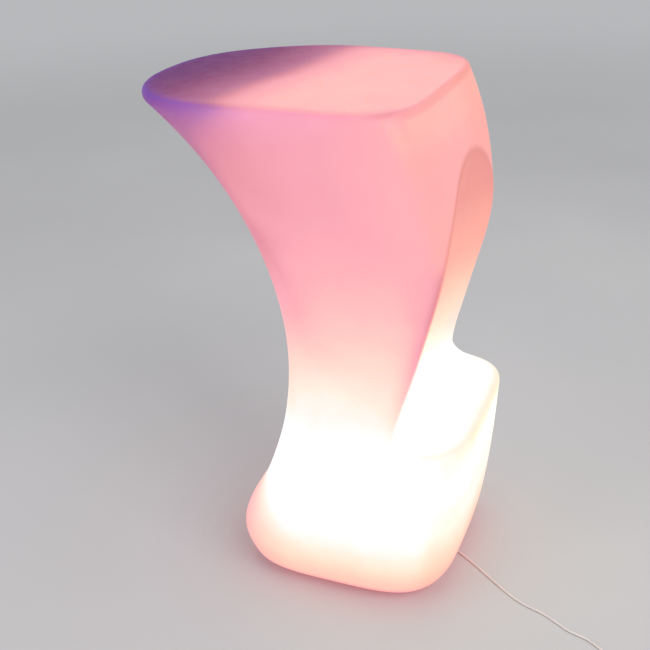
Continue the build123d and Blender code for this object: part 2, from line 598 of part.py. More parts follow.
# ------------------------------------------------------- lead, plug, adapter
PZ = 16.5
barrel = tube(2.75, 1.15, Z_U - 6.0, Z_U + 8.0, jx, jy)
save("dc_plug_barrel", barrel)
plug = cyl(5.2, PZ - 5.0, Z_U - 6.0 + 3.9, jx, jy)
plug -= cyl(2.75, Z_U - 6.0, Z_U, jx, jy)
arm = Pos(jx, jy - 6.0, PZ) * (Rot(90, 0, 0) * Cylinder(4.4, 12.0))
relief = Pos(jx, jy - 18.0, PZ) * (Rot(90, 0, 0) * Cone(3.4, 2.4, 12.0))
plug = (plug + arm + relief - cyl(2.75, Z_U - 6.0, Z_U + 8.0, jx, jy)).solids().sort_by(SortBy.VOLUME)[-1]
save("dc_plug", plug)

LEAD = [
    (14.0, -114.0, 16.5),
    (14.0, -122.5, 15.6),
    (13.9, -131.5, 11.0),
    (13.6, -140.5, 5.6),
    (13.2, -150.0, 2.4),
    (12.2, -163.0, 1.85),
    (9.0, -184.0, 1.8),
    (0.6, -207.0, 1.8),
    (-22.8, -240.0, 1.8),
    (-45.0, -268.0, 1.8),
    (-67.3, -297.0, 1.8),
    (-80.6, -317.0, 1.8),
    (-88.9, -334.0, 1.8),
    (-96.0, -358.8, 1.8),
    (-108.6, -381.6, 1.8),
    (-118.6, -397.0, 1.8),
    (-123.4, -412.0, 1.8),
    (-127.2, -427.2, 1.8),
    (-135.2, -440.6, 1.8),
    (-144.5, -454.0, 1.8),
    (-156.0, -468.0, 1.8),
    (-170.5, -479.0, 1.8),
    (-188.0, -483.6, 1.8),
    (-205.0, -483.0, 1.8),
]
coil = Pos(COIL_XY[0], COIL_XY[1], COIL_BUNDLE_H / 2) * (
    Cylinder(COIL_R + COIL_BUNDLE_W / 2, COIL_BUNDLE_H) - Cylinder(COIL_R - COIL_BUNDLE_W / 2, COIL_BUNDLE_H + 2)
)
coil = coil.solids()[0]
coil = coil.fillet(4.0, coil.edges().filter_by(GeomType.CIRCLE))
# tie around the bundle on the coil's far side
ty = COIL_XY[1] + COIL_R
tie = block(COIL_XY[0] - 4.5, COIL_XY[0] + 4.5, ty - 7.0, ty + 7.0, 0.0, COIL_BUNDLE_H + 0.7)
tie = tie.fillet(2.5, tie.edges().filter_by(Axis.X))
tie -= block(COIL_XY[0] - 6, COIL_XY[0] + 6, ty - 5.9, ty + 5.9, 1.1, COIL_BUNDLE_H - 0.4)
tie += block(COIL_XY[0] - 4.5, COIL_XY[0] + 4.5, ty + 5.5, ty + 11.0, COIL_BUNDLE_H - 1.0, COIL_BUNDLE_H + 0.1)
tie = tie.solids().sort_by(SortBy.VOLUME)[-1]
coil = (coil - tie).solids().sort_by(SortBy.VOLUME)[-1]
save("coil_tie", tie)
save("dc_lead_coil", coil)
lead, lead_len = hose(LEAD, LEAD_D)
print("lead radii", [round(r, 1) for r in bend_radii(LEAD)])
print("lead length", round(lead_len, 1), "volume ratio", round(lead.volume / (math.pi * LEAD_D**2 / 4 * lead_len), 5), lead.is_valid)
lead = (lead - coil - plug).solids().sort_by(SortBy.VOLUME)[-1]
save("dc_lead", lead)

# the short stretch from the coil to the adapter
RELIEF_X, RELIEF_Z = ADAPTER_X + ADAPTER_L / 2 + 12.0, 7.5
TAIL = [
    (-205.0, -483.0, 3.4),
    (-219.0, -483.4, 3.4),
    (-232.0, -484.0, 5.0),
    (RELIEF_X, ADAPTER_Y, RELIEF_Z),
]
tail, tail_len = hose(TAIL, LEAD_D)
print("tail radii", [round(r, 1) for r in bend_radii(TAIL)], "length", round(tail_len, 1))

# the mains adapter on the lead's far end: two case halves, blades, relief, board
X0, X1 = ADAPTER_X - ADAPTER_L / 2, ADAPTER_X + ADAPTER_L / 2
case = Pos(ADAPTER_X, ADAPTER_Y, ADAPTER_H / 2) * Box(ADAPTER_L, ADAPTER_W, ADAPTER_H)
case = case.fillet(5.0, case.edges().filter_by(Axis.Z))
case = case.fillet(2.0, case.faces().sort_by(Axis.Z)[-1].edges() + case.faces().sort_by(Axis.Z)[0].edges())
hollow = Pos(ADAPTER_X, ADAPTER_Y, ADAPTER_H / 2) * Box(ADAPTER_L - 4.4, ADAPTER_W - 4.4, ADAPTER_H - 4.4)
hollow = hollow.fillet(3.0, hollow.edges().filter_by(Axis.Z))
BZ = ADAPTER_H / 2
slots = [block(X0 - 1, X0 + 3, ADAPTER_Y + s * 6.35 - 0.8, ADAPTER_Y + s * 6.35 + 0.8, BZ - 3.2, BZ + 3.2) for s in (-1, 1)]
relief_hole = Pos(X1, ADAPTER_Y, RELIEF_Z) * (Rot(0, 90, 0) * Cylinder(3.2, 8.0))
case = case - hollow - slots[0] - slots[1] - relief_hole
lower = case & block(X0 - 2, X1 + 2, ADAPTER_Y - 30, ADAPTER_Y + 30, -1, BZ)
upper = case & block(X0 - 2, X1 + 2, ADAPTER_Y - 30, ADAPTER_Y + 30, BZ, ADAPTER_H + 1)
save("adapter_case_lower", lower.solids().sort_by(SortBy.VOLUME)[-1])
save("adapter_case_upper", upper.solids().sort_by(SortBy.VOLUME)[-1])
blades = []
for s in (-1, 1):
    y = ADAPTER_Y + s * 6.35
    blade = block(X0 - 16, X0 + 5, y - 0.8, y + 0.8, BZ - 3.2, BZ + 3.2)
    blade -= Pos(X0 - 12, y, BZ) * (Rot(90, 0, 0) * Cylinder(1.6, 4))
    blades.append(blade)
save("adapter_blades", Part() + blades)
boot = Pos(X1 + 6.0, ADAPTER_Y, RELIEF_Z) * (Rot(0, 90, 0) * Cone(3.9, 2.5, 12.0))
boot += Pos(X1 - 1.1, ADAPTER_Y, RELIEF_Z) * (Rot(0, 90, 0) * Cylinder(3.2, 2.2)) + Pos(X1 - 3.2, ADAPTER_Y, RELIEF_Z) * (Rot(0, 90, 0) * Cylinder(4.2, 2.0))
boot = boot.solids().sort_by(SortBy.VOLUME)[-1]
save("adapter_strain_relief", boot)
save("dc_lead_tail", (tail - coil - boot).solids().sort_by(SortBy.VOLUME)[-1])
save("adapter_board", block(X0 + 6, X1 - 7, ADAPTER_Y - 14, ADAPTER_Y + 14, 4.6, 6.2))
save("adapter_components", Part() + [block(X0 + 16, X0 + 32, ADAPTER_Y - 8, ADAPTER_Y + 8, 6.2, 19.2), cyl(4.0, 6.2, 18.2, X0 + 11, ADAPTER_Y + 9), cyl(3.15, 6.2, 15.2, X1 - 13, ADAPTER_Y - 9), block(X1 - 19, X1 - 13, ADAPTER_Y + 2, ADAPTER_Y + 12, 6.2, 12.2)])

whole = [m for n, m in MADE.items() if not n.startswith(("dc_", "coil_", "adapter_"))]
boxes = [m.bounding_box() for m in whole]
lo = [min(getattr(b.min, k) for b in boxes) for k in "XYZ"]
hi = [max(getattr(b.max, k) for b in boxes) for k in "XYZ"]
print("object box", [round(v, 2) for v in lo + hi], "middle", round((lo[0] + hi[0]) / 2, 3), round((lo[1] + hi[1]) / 2, 3))
print(len(MADE), "nodes")
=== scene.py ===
"""Looks of the light-up stool: the moulded body that glows from inside, its lamp unit, feet, lead and adapter, on a pale floor."""
import math

import bmesh
import bpy
import numpy as np
from mathutils import Matrix, Vector
from mathutils.bvhtree import BVHTree
from mathutils.kdtree import KDTree


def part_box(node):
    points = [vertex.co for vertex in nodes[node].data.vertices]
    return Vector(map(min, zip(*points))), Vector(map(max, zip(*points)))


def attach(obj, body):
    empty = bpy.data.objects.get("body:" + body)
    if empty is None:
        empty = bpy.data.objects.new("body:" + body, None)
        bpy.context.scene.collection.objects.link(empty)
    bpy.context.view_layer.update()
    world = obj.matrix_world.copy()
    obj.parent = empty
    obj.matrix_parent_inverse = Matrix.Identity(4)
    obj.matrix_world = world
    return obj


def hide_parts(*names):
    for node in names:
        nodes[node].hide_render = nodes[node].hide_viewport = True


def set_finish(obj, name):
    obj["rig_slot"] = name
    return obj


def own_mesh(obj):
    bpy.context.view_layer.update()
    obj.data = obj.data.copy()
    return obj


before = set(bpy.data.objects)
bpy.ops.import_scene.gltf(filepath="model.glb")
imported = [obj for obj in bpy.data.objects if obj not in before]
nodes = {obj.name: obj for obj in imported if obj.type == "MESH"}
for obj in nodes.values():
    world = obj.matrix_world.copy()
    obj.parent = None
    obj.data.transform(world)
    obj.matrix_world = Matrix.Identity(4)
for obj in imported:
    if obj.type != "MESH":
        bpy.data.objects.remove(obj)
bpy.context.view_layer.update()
scene = bpy.context.scene

# ------------------------------------------------------------------- camera
VIEW = Vector((0.82901, 0.34195, -0.44251))
UP = Vector((0.42144, 0.13812, 0.89628))
VIEW.normalize()
SIDE = VIEW.cross(UP).normalized()
UP = SIDE.cross(VIEW).normalized()
cam = bpy.data.objects.new("camera", bpy.data.cameras.new("camera"))
scene.collection.objects.link(cam)
turn = Matrix((SIDE, UP, -VIEW)).transposed().to_4x4()
cam.matrix_world = Matrix.Translation((-1.25832, -0.51001, 1.04148)) @ turn
cam.data.sensor_fit = "HORIZONTAL"
cam.data.sensor_width = 36.0
cam.data.lens = 55.86
cam.data.clip_start, cam.data.clip_end = 0.05, 60.0
scene.camera = cam
scene.view_settings.view_transform = "Standard"
scene.view_settings.look = "None"


# --------------------------------------------------------- material helpers
def lin(*rgb):
    """Display colour 0-255 to linear light."""
    out = []
    for v in rgb:
        v = v / 255.0
        out.append(v / 12.92 if v <= 0.04045 else ((v + 0.055) / 1.055) ** 2.4)
    return out


class Surface:
    """A node material with the few building blocks that are used below."""

    def __init__(self, name):
        self.mat = bpy.data.materials.new(name)
        self.mat.use_nodes = True
        self.tree = self.mat.node_tree
        self.tree.nodes.clear()
        self.out = self.node("ShaderNodeOutputMaterial")
        self.p = self.node("ShaderNodeBsdfPrincipled")
        self.link(self.p.outputs[0], self.out.inputs[0])
        self.where = self.node("ShaderNodeTexCoord").outputs["Object"]

    def node(self, kind, **props):
        n = self.tree.nodes.new(kind)
        for k, v in props.items():
            setattr(n, k, v)
        return n

    def link(self, a, b):
        self.tree.links.new(a, b)

    def put(self, socket, value):
        if isinstance(value, bpy.types.NodeSocket):
            self.link(value, socket)
        else:
            socket.default_value = value

    def stretched(self, x, y, z):
        n = self.node("ShaderNodeMapping")
        self.link(self.where, n.inputs["Vector"])
        n.inputs["Scale"].default_value = (x, y, z)
        return n.outputs[0]

    def noise(self, size_mm, detail=3.0, rough=0.5, at=None, warp=0.0):
        n = self.node("ShaderNodeTexNoise")
        self.link(at or self.where, n.inputs["Vector"])
        n.inputs["Scale"].default_value = 1000.0 / size_mm
        n.inputs["Detail"].default_value = detail
        n.inputs["Roughness"].default_value = rough
        n.inputs["Distortion"].default_value = warp
        return n.outputs["Fac"]

    def cells(self, size_mm, feature="F1", at=None):
        n = self.node("ShaderNodeTexVoronoi", feature=feature)
        self.link(at or self.where, n.inputs["Vector"])
        n.inputs["Scale"].default_value = 1000.0 / size_mm
        return n.outputs["Distance"]

    def span(self, value, a, b, c, d):
        n = self.node("ShaderNodeMapRange")
        self.put(n.inputs["Value"], value)
        for k, v in zip(("From Min", "From Max", "To Min", "To Max"), (a, b, c, d)):
            n.inputs[k].default_value = v
        return n.outputs["Result"]

    def calc(self, op, a, b):
        n = self.node("ShaderNodeMath", operation=op)
        self.put(n.inputs[0], a)
        self.put(n.inputs[1], b)
        return n.outputs[0]

    def blend(self, kind, fac, a, b):
        n = self.node("ShaderNodeMix", data_type="RGBA", blend_type=kind)
        self.put(n.inputs["Factor"], fac)
        self.put(n.inputs[6], a)
        self.put(n.inputs[7], b)
        return n.outputs[2]

    def ramp(self, value, stops, ease="LINEAR"):
        n = self.node("ShaderNodeValToRGB")
        n.color_ramp.interpolation = ease
        e = n.color_ramp.elements
        while len(e) < len(stops):
            e.new(0.5)
        for k, (at, c) in enumerate(stops):
            e[k].position = at
            e[k].color = (*c, 1.0)
        self.put(n.inputs[0], value)
        return n.outputs[0]

    def bump(self, height, strength, depth_mm, under=None):
        n = self.node("ShaderNodeBump")
        n.inputs["Strength"].default_value = strength
        n.inputs["Distance"].default_value = depth_mm / 1000.0
        self.link(height, n.inputs["Height"])
        if under is not None:
            self.link(under, n.inputs["Normal"])
        return n.outputs[0]


def shades(rgb, spread):
    """Darker and lighter neighbours of a linear colour."""
    return [max(0.0, v * (1 - spread)) for v in rgb], [min(1.0, v * (1 + spread)) for v in rgb]


def moulded(name, rgb, rough=(0.38, 0.5), grain=1.2, depth=0.05, mottle=14.0, spread=0.05, soil=0.0, specular=0.5):
    """Injection moulded or rubber part: mottled tone, fine spark-eroded grain, uneven gloss."""
    s = Surface(name)
    low, high = shades(rgb, spread)
    tone = s.noise(mottle, 4, 0.55)
    colour = s.ramp(tone, [(0.3, low), (0.7, high)])
    if soil:
        dirt = s.ramp(s.noise(mottle * 0.45, 6, 0.7, warp=0.6), [(0.52, (0, 0, 0)), (0.78, (soil, soil, soil))])
        colour = s.blend("MULTIPLY", dirt, colour, (0.55, 0.5, 0.46, 1))
    s.put(s.p.inputs["Base Color"], colour)
    s.put(s.p.inputs["Roughness"], s.span(s.noise(mottle * 0.6, 3, 0.6), 0.3, 0.7, *rough))
    s.p.inputs["Specular IOR Level"].default_value = specular
    fine = s.noise(grain, 3, 0.6)
    coarse = s.noise(grain * 6, 2, 0.5)
    s.put(s.p.inputs["Normal"], s.bump(fine, 0.5, depth, s.bump(coarse, 0.35, depth * 1.5)))
    return s


def metal(name, rgb, rough=(0.22, 0.36), turned=(1, 1, 14), lines=0.35, depth=0.015, tarnish=0.12):
    """Plated or turned metal: tool marks run round the part, with a little tarnish."""
    s = Surface(name)
    low, high = shades(rgb, tarnish)
    s.put(s.p.inputs["Base Color"], s.ramp(s.noise(5, 5, 0.65), [(0.3, low), (0.65, high)]))
    s.p.inputs["Metallic"].default_value = 1.0
    marks = s.noise(lines * 14, 4, 0.6, at=s.stretched(*turned))
    s.put(s.p.inputs["Roughness"], s.span(marks, 0.3, 0.7, *rough))
    s.put(s.p.inputs["Normal"], s.bump(marks, 0.4, depth))
    return s


def circuit(name):
    """Solder mask over copper: lighter tracks, vias and bare tinned pads."""
    s = Surface(name)
    tracks = s.calc("PINGPONG", s.noise(6.0, 1.0, 0.3, at=s.stretched(1, 0.35, 1)), 0.09)
    tracks = s.span(tracks, 0.035, 0.055, 0.0, 1.0)
    colour = s.ramp(tracks, [(0.3, lin(18, 74, 40)), (0.7, lin(34, 104, 58))])
    pads = s.ramp(s.cells(2.4), [(0.12, (1, 1, 1)), (0.16, (0, 0, 0))])
    colour = s.blend("MIX", pads, colour, (*lin(206, 200, 178), 1))
    s.put(s.p.inputs["Base Color"], colour)
    s.put(s.p.inputs["Roughness"], s.span(s.noise(2.0, 3), 0.3, 0.7, 0.24, 0.4))
    s.put(s.p.inputs["Normal"], s.bump(tracks, 0.5, 0.03))
    return s


def wire(name, rgb):
    s = moulded(name, rgb, rough=(0.32, 0.44), grain=0.5, depth=0.01, mottle=6, spread=0.06)
    return s


surfaces = {
    "white_plastic": moulded("white_plastic", lin(226, 224, 220), (0.36, 0.5), 0.9, 0.05, 11, 0.02, soil=0.08),
    "foot_rubber": moulded("foot_rubber", lin(190, 188, 184), (0.72, 0.9), 0.7, 0.09, 7, 0.09, soil=0.75, specular=0.3),
    "seal_rubber": moulded("seal_rubber", lin(62, 62, 64), (0.62, 0.82), 0.6, 0.06, 5, 0.16, soil=0.3, specular=0.35),
    "brass": metal("brass", lin(214, 176, 104), (0.24, 0.4), (1, 1, 10), 0.3, 0.03, 0.14),
    "stainless": metal("stainless", lin(196, 196, 194), (0.2, 0.34), (1, 1, 16), 0.3, 0.012, 0.07),
    "spring_steel": metal("spring_steel", lin(176, 178, 182), (0.24, 0.42), (6, 6, 1), 0.2, 0.01, 0.12),
    "nickel": metal("nickel", lin(214, 210, 200), (0.14, 0.27), (1, 1, 12), 0.3, 0.008, 0.06),
    "led_plate": moulded("led_plate", lin(236, 236, 230), (0.22, 0.36), 1.4, 0.02, 9, 0.03),
    "black_plastic": moulded("black_plastic", lin(38, 38, 40), (0.42, 0.58), 0.8, 0.06, 8, 0.22),
    "parts_black": moulded("parts_black", lin(44, 44, 48), (0.26, 0.42), 0.6, 0.03, 4, 0.35),
    "button_plastic": moulded("button_plastic", lin(198, 198, 200), (0.2, 0.32), 0.8, 0.015, 6, 0.05, soil=0.12),
    "wire_red": wire("wire_red", lin(178, 34, 28)),
    "wire_black": wire("wire_black", lin(36, 36, 38)),
    "wire_white": wire("wire_white", lin(224, 222, 216)),
    "wire_yellow": wire("wire_yellow", lin(226, 178, 54)),
    "lead_sheath": moulded("lead_sheath", lin(232, 224, 220), (0.34, 0.48), 0.9, 0.02, 22, 0.05, soil=0.12),
    "adapter_case": moulded("adapter_case", lin(232, 230, 226), (0.3, 0.42), 0.8, 0.04, 18, 0.03, soil=0.14),
    "green_board": circuit("green_board"),
}

# cell sleeves: shrunk film with fine creases
s = moulded("cell_wrap", lin(48, 96, 164), (0.2, 0.34), 2.0, 0.02, 9, 0.12)
s.p.inputs["Coat Weight"].default_value = 0.4
s.p.inputs["Coat Roughness"].default_value = 0.18
surfaces["cell_wrap"] = s

# adapter case: the parting line where its halves meet
s = surfaces["adapter_case"]
height = s.node("ShaderNodeSeparateXYZ")
s.link(s.where, height.inputs[0])
line = s.span(s.calc("ABSOLUTE", s.calc("SUBTRACT", height.outputs[2], 0.013), 0.0), 0.00012, 0.00042, 1.0, 0.0)
s.put(s.p.inputs["Base Color"], s.blend("MULTIPLY", line, s.p.inputs["Base Color"].links[0].from_socket, (0.42, 0.4, 0.39, 1)))
s.put(s.p.inputs["Normal"], s.bump(s.calc("SUBTRACT", 1.0, line), 0.8, 0.3, s.p.inputs["Normal"].links[0].from_socket))

# light sources: a phosphor window in a white package
s = moulded("led_body", lin(240, 226, 190), (0.25, 0.4), 0.5, 0.01, 2.5, 0.05)
s.put(s.p.inputs["Emission Color"], s.ramp(s.noise(2.0, 2), [(0.35, lin(255, 214, 196)), (0.65, lin(255, 238, 224))]))
s.p.inputs["Emission Strength"].default_value = 1.0
s.mat.cycles.emission_sampling = "NONE"
surfaces["led_body"] = s

# dome: slightly frosted clear plastic
s = moulded("dome", lin(240, 243, 245), (0.16, 0.3), 0.8, 0.02, 12, 0.02)
s.p.inputs["Transmission Weight"].default_value = 0.75
s.p.inputs["IOR"].default_value = 1.49
surfaces["dome"] = s

# -------------------------------------------------- the glowing body's finish
GLOW = [
    (0.00, (110, 40, 99)),
    (0.12, (142, 66, 109)),
    (0.30, (173, 97, 134)),
    (0.40, (190, 115, 146)),
    (0.50, (218, 134, 156)),
    (0.60, (238, 152, 166)),
    (0.68, (251, 168, 182)),
    (0.76, (262, 180, 187)),
    (0.86, (263, 206, 198)),
    (0.92, (263, 226, 211)),
    (0.96, (263, 244, 229)),
    (1.00, (263, 262, 260)),
]
TOP = 1.06           # level at which the ramp ends, past plain white
LIT = 0.78           # share of the shown colour that the body gives off itself
DIFFUSE = 0.50       # share of it that is the plastic's own colour under the studio light
POWER = 1.15

s = Surface("shell_glow")
level = s.node("ShaderNodeAttribute", attribute_type="GEOMETRY", attribute_name="glow").outputs["Fac"]
painted_purple_light = s.node("ShaderNodeAttribute", attribute_type="GEOMETRY", attribute_name="painted_purple_light").outputs["Fac"]
warm = s.node("ShaderNodeAttribute", attribute_type="GEOMETRY", attribute_name="warm").outputs["Fac"]
# the wall is a little uneven in thickness, as rotational moulding leaves it
level = s.calc("ADD", level, s.span(s.noise(55, 3, 0.5), 0.25, 0.75, -0.011, 0.011))
level = s.calc("ADD", level, s.span(s.noise(2.2, 2, 0.5), 0.25, 0.75, -0.004, 0.004))
k = 0.95 * LIT / POWER
colour = s.ramp(s.calc("DIVIDE", level, TOP), [(at / TOP, [v * k for v in lin(*c)]) for at, c in GLOW] + [(1.0, (1, 1, 1))])
# painted purple light: purple added to the glow's colour where the room's purple light falls on the back rim and the
# seat
colour = s.blend("ADD", painted_purple_light, colour, (0.0, 0.022, 0.165, 1))
colour = s.blend("MULTIPLY", warm, colour, (1.0, 0.98, 0.70, 1))
# gain: emission and base colour raised where the studio light falls weakly and lowered where it falls strongly, painted
# light that cancels the studio shading; it also carries the glow's own rise along the rim band
gain = s.node("ShaderNodeAttribute", attribute_type="GEOMETRY", attribute_name="gain").outputs["Fac"]
colour = s.blend("MULTIPLY", 1.0, colour, gain)
s.put(s.p.inputs["Emission Color"], colour)
s.p.inputs["Emission Strength"].default_value = POWER
s.put(s.p.inputs["Base Color"], s.blend("MULTIPLY", 1.0, colour, (DIFFUSE / k, DIFFUSE / k, DIFFUSE / k, 1)))
s.put(s.p.inputs["Roughness"], s.span(s.noise(18, 4, 0.6), 0.3, 0.7, 0.4, 0.52))
s.p.inputs["Specular IOR Level"].default_value = 0.15
peel = s.bump(s.noise(7.0, 2, 0.4), 0.25, 0.10)
s.put(s.p.inputs["Normal"], s.bump(s.noise(0.9, 3, 0.6), 0.35, 0.035, peel))
s.mat.cycles.emission_sampling = "NONE"
surfaces["shell"] = s

for name, o in nodes.items():
    for part in o.material_slots:
        part.material = surfaces[part.material.name.split(".")[0]].mat


# ------------------------------------------------------------- mesh helpers
def piece(name, verts, faces, slot, body="root", smooth=True):
    me = bpy.data.meshes.new(name)
    me.from_pydata([tuple(v) for v in verts], [], [tuple(f) for f in faces])
    me.validate()
    if smooth:
        me.shade_smooth()
    o = bpy.data.objects.new(name, me)
    scene.collection.objects.link(o)
    me.materials.append(surfaces[slot].mat)
    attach(o, body)
    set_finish(o, slot)
    return o


def coords(me):
    co = np.empty(len(me.vertices) * 3, np.float32)
    me.vertices.foreach_get("co", co)
    return co.reshape(-1, 3).astype(float)


def ease(a, b, x):
    t = np.clip((x - a) / (b - a), 0.0, 1.0)
    return t * t * (3 - 2 * t)


def curve(x, *knots):
    """Smooth line through (x, value) points, flat beyond the ends."""
    xs = np.array([k[0] for k in knots], float)
    ys = np.array([k[1] for k in knots], float)
    h = np.diff(xs)
    d = np.diff(ys) / h
    m = np.empty(len(xs))
    m[0], m[-1] = d[0], d[-1]
    m[1:-1] = np.where(d[:-1] * d[1:] > 0, 2 * d[:-1] * d[1:] / (d[:-1] + d[1:] + 1e-12), 0.0)
    x = np.clip(x, xs[0], xs[-1])
    k = np.clip(np.searchsorted(xs, x) - 1, 0, len(xs) - 2)
    t = (x - xs[k]) / h[k]
    a, b = (2 * t**3 - 3 * t**2 + 1) * ys[k], (t**3 - 2 * t**2 + t) * h[k] * m[k]
    return a + b + (-2 * t**3 + 3 * t**2) * ys[k + 1] + (t**3 - t**2) * h[k] * m[k + 1]


# ----------------------------------------------------------- floor and light
floor_surface = Surface("floor")
f = floor_surface
tone = f.ramp(f.noise(900, 4, 0.5), [(0.3, lin(203, 203, 204)), (0.7, lin(210, 210, 210))])
f.put(f.p.inputs["Base Color"], tone)
f.put(f.p.inputs["Roughness"], f.span(f.noise(300, 4, 0.6), 0.3, 0.7, 0.62, 0.74))
f.p.inputs["Specular IOR Level"].default_value = 0.25
f.put(f.p.inputs["Normal"], f.bump(f.noise(2.5, 3, 0.6), 0.15, 0.05))
WORLD = 0.5
WORLD_COLOUR = (0.96, 0.97, 1.0, 1)
reach = f.node("ShaderNodeVectorMath", operation="LENGTH")
f.put(reach.inputs[0], f.where)
away = f.node("ShaderNodeMapRange", interpolation_type="SMOOTHERSTEP")
away.inputs["From Min"].default_value, away.inputs["From Max"].default_value = 1.4, 5.5
f.put(away.inputs["Value"], reach.outputs["Value"])
haze = f.node("ShaderNodeEmission")
haze.inputs["Color"].default_value, haze.inputs["Strength"].default_value = WORLD_COLOUR, WORLD
both = f.node("ShaderNodeMixShader")
f.put(both.inputs[0], away.outputs["Result"])
f.put(both.inputs[1], f.p.outputs[0])
f.put(both.inputs[2], haze.outputs[0])
f.put(f.out.inputs["Surface"], both.outputs[0])
me = bpy.data.meshes.new("floor")
me.from_pydata([(-40, -40, 0), (40, -40, 0), (40, 40, 0), (-40, 40, 0)], [], [(0, 1, 2, 3)])
me.materials.append(f.mat)
floor = bpy.data.objects.new("floor", me)
floor.location.z = -0.0002
scene.collection.objects.link(floor)

world = bpy.data.worlds.new("studio")
scene.world = world
world.use_nodes = True
world.node_tree.nodes["Background"].inputs["Color"].default_value = WORLD_COLOUR
world.node_tree.nodes["Background"].inputs["Strength"].default_value = WORLD


BOXES = []


def softbox(name, at, aim, width, power, colour):
    light = bpy.data.lights.new(name, "AREA")
    light.shape, light.size, light.size_y = "RECTANGLE", width, width
    light.energy, light.color = power, colour
    o = bpy.data.objects.new(name, light)
    o.location = at
    o.rotation_mode = "QUATERNION"
    o.rotation_quaternion = (Vector(aim) - Vector(at)).to_track_quat("-Z", "Y")
    scene.collection.objects.link(o)
    BOXES.append((Vector(at), o.rotation_quaternion.copy(), width, power))
    return o


softbox("key", (-1.9, -2.9, 3.2), (0, 0, 0.35), 2.6, 70, (1.0, 0.985, 0.965))
softbox("fill", (-2.8, 2.4, 2.8), (0, 0, 0.3), 2.8, 26, (0.97, 0.98, 1.0))
softbox("top", (0.6, 0.1, 3.6), (0, 0, 0.2), 2.6, 20, (1.0, 1.0, 1.0))


def studio_light(P, N):
    """Light that the studio sends to points P (m) with normals N, as the share of it that a white surface would show."""
    total = WORLD * (0.5 + 0.5 * N[:, 2]) + 0.42 * (0.5 - 0.5 * N[:, 2])
    for at, turn, width, power in BOXES:
        aim = np.array(turn @ Vector((0, 0, -1)))
        for i in (-1, 0, 1):
            for j in (-1, 0, 1):
                q = np.array(at + turn @ Vector((i * width / 3, j * width / 3, 0)))
                ray = q - P
                r = np.linalg.norm(ray, axis=1)
                ray = ray / r[:, None]
                out = np.maximum((ray * N).sum(1), 0) * np.maximum(-(ray @ aim), 0) / r**2
                total = total + power / math.pi * out / 9 / math.pi
    return total


# ------------------------------------------------------------------ the body
LAMP = (0.0, -0.058)
HOUSING_AT = [(0.076 * math.cos(math.radians(30 + 60 * i)), LAMP[1] + 0.076 * math.sin(math.radians(30 + 60 * i))) for i in range(6)]
FEET_AT = [(-0.088, -0.143), (0.088, -0.143), (0.088, 0.027), (-0.088, 0.027)]
WALL = 0.004
VOXEL = 0.003


def outer_skin(me):
    """The body's outside, without the holes that screws, inserts and the lamp unit fill."""
    me.calc_loop_triangles()
    tri = np.empty(len(me.loop_triangles) * 3, np.int32)
    me.loop_triangles.foreach_get("vertices", tri)
    key, back = np.unique(np.round(coords(me) * 1e5).astype(np.int64), axis=0, return_inverse=True)
    v, tri = key / 1e5, back.reshape(-1)[tri].reshape(-1, 3)
    tri = tri[(tri[:, 0] != tri[:, 1]) & (tri[:, 1] != tri[:, 2]) & (tri[:, 0] != tri[:, 2])]
    a, b, c = v[tri[:, 0]], v[tri[:, 1]], v[tri[:, 2]]
    n = np.cross(b - a, c - a)
    n /= np.linalg.norm(n, axis=1, keepdims=True) + 1e-20
    m = (a + b + c) / 3
    drop = (abs(n[:, 2]) < 0.3) & (abs(np.hypot(m[:, 0] - LAMP[0], m[:, 1] - LAMP[1]) - 0.066) < 0.0008) & (m[:, 2] > 0.0305) & (m[:, 2] < 0.0355)
    for (x, y), r, level in [(p, 0.0043, 0.031) for p in HOUSING_AT] + [(p, 0.0038, 0.007) for p in FEET_AT] + [((0.0, 0.050), 0.0043, 0.007)]:
        near = (np.hypot(m[:, 0] - x, m[:, 1] - y) < r) & (m[:, 2] < 0.045)
        drop |= near & ~((abs(m[:, 2] - level) < 1e-4) & (abs(n[:, 2]) > 0.9)) & ~((abs(m[:, 2] - 0.011) < 1e-4) & (abs(n[:, 2]) > 0.9))
    tri = tri[~drop]
    up = list(range(len(v)))

    def root(i):
        while up[i] != i:
            up[i] = up[up[i]]
            i = up[i]
        return i

    for p, q, r in tri.tolist():
        p, q, r = root(p), root(q), root(r)
        up[q] = p
        up[r] = p
    top = root(int(tri[np.argmax(v[tri].max(1)[:, 2])][0]))
    keep = np.array([root(i) == top for i in tri[:, 0].tolist()])
    tri = tri[keep]
    used, back = np.unique(tri, return_inverse=True)
    return v[used], back.reshape(-1, 3)


def smoothed(me, co, rounds, amount, surface=None):
    """Relaxes points towards the middle of their neighbours, and back onto the surface if one is given."""
    e = np.empty(len(me.edges) * 2, np.int32)
    me.edges.foreach_get("vertices", e)
    e = e.reshape(-1, 2)
    count = np.bincount(e.ravel(), minlength=len(co)).astype(float)[:, None]
    for _ in range(rounds):
        total = np.zeros_like(co)
        np.add.at(total, e[:, 0], co[e[:, 1]])
        np.add.at(total, e[:, 1], co[e[:, 0]])
        co = co + amount * (total / count - co)
        if surface is not None:
            co = np.array([surface.find_nearest(Vector(p))[0] for p in co])
    return co


